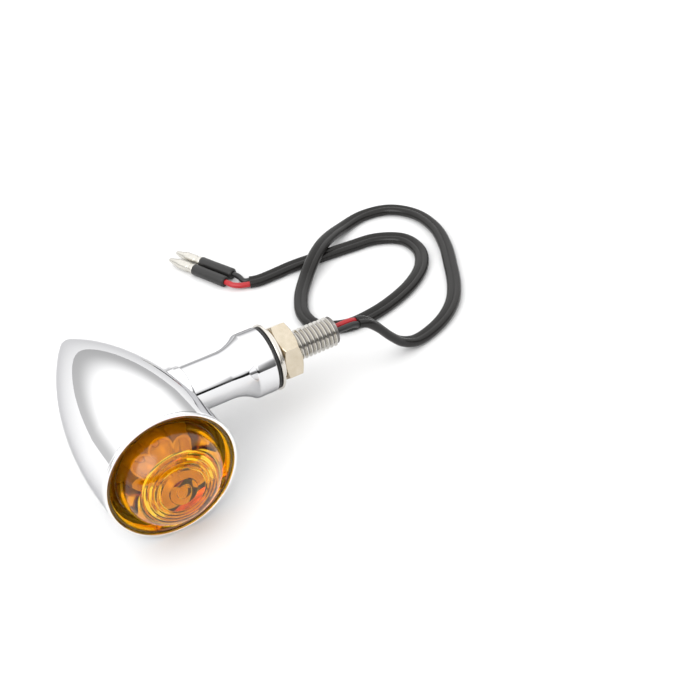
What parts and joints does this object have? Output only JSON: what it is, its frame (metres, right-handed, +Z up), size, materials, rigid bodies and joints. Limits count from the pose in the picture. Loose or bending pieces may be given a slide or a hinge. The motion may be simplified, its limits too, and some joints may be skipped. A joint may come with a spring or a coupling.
{
  "type": "motorcycle turn signal lamp",
  "caption": "Bullet-shaped chrome turn signal lamp with a domed amber lens, flared stem, hollow threaded stud with nut and washers, and a twin cable with bullet terminals.",
  "frame": {"origin": "centre of the stem's seat face, on the stud's axis", "axes": "+X along the stem from the head towards the stud's free end; the lens faces -Y; +Z up. The lamp and its cable lie on the plane z = -0.021."},
  "size_m": [0.1679, 0.144, 0.042],
  "materials": {
    "chrome": "bright chrome plating",
    "amber_lens": "clear amber plastic, smooth outside",
    "black_rubber": "black rubber",
    "reflector_metal": "bright metallised plastic",
    "board": "dark solder mask",
    "led_lens": "clear yellow resin",
    "dark_plastic": "black ceramic chip",
    "steel": "plain steel",
    "red_insulation": "red PVC",
    "black_insulation": "black PVC",
    "zinc_steel": "bright zinc plating",
    "nut_plating": "warm nickel plating",
    "cable_sheath": "black PVC with a soft sheen",
    "black_sleeve": "black soft PVC",
    "terminal_metal": "bright tin plating"
  },
  "bodies": {
    "stem": {"stem": "chrome", "hollow_bolt": "zinc_steel", "lead_grommet": "black_rubber", "red_lead": "red_insulation", "black_lead": "black_insulation", "cable": "cable_sheath", "red_tail": "red_insulation", "black_tail": "black_insulation", "red_sleeve": "black_sleeve", "black_sleeve": "black_sleeve", "red_terminal": "terminal_metal", "black_terminal": "terminal_metal"},
    "head": {"housing": "chrome", "lens_seal": "black_rubber", "reflector": "reflector_metal", "led_board": "board", "leds": "led_lens", "resistors": "dark_plastic", "board_screws": "steel", "red_inner_lead": "red_insulation", "black_inner_lead": "black_insulation"},
    "lens": {"lens": "amber_lens"},
    "washers": {"rubber_washer": "black_rubber", "flat_washer": "zinc_steel", "spring_washer": "zinc_steel"},
    "nut": {"hex_nut": "nut_plating"}
  },
  "joints": [
    {"name": "head_swivel", "type": "hinge", "parent": "stem", "child": "head", "pos_m": [0, 0, 0], "axis": [1, 0, 0], "range_deg": [-90, 90]},
    {"name": "lens_pull", "type": "slide", "parent": "head", "child": "lens", "axis": [0, -1, 0], "range_m": [0, 0.012]},
    {"name": "washer_travel", "type": "slide", "parent": "stem", "child": "washers", "axis": [1, 0, 0], "range_m": [0, 0.0125]},
    {"name": "nut_turn", "type": "hinge", "parent": "washers", "child": "nut", "pos_m": [0, 0, 0], "axis": [1, 0, 0], "range_deg": [0, 3000.5]}
  ],
  "couplings": [
    {"joint": "nut_turn", "follows": "washer_travel", "rad_per_m": 4188.8}
  ]
}
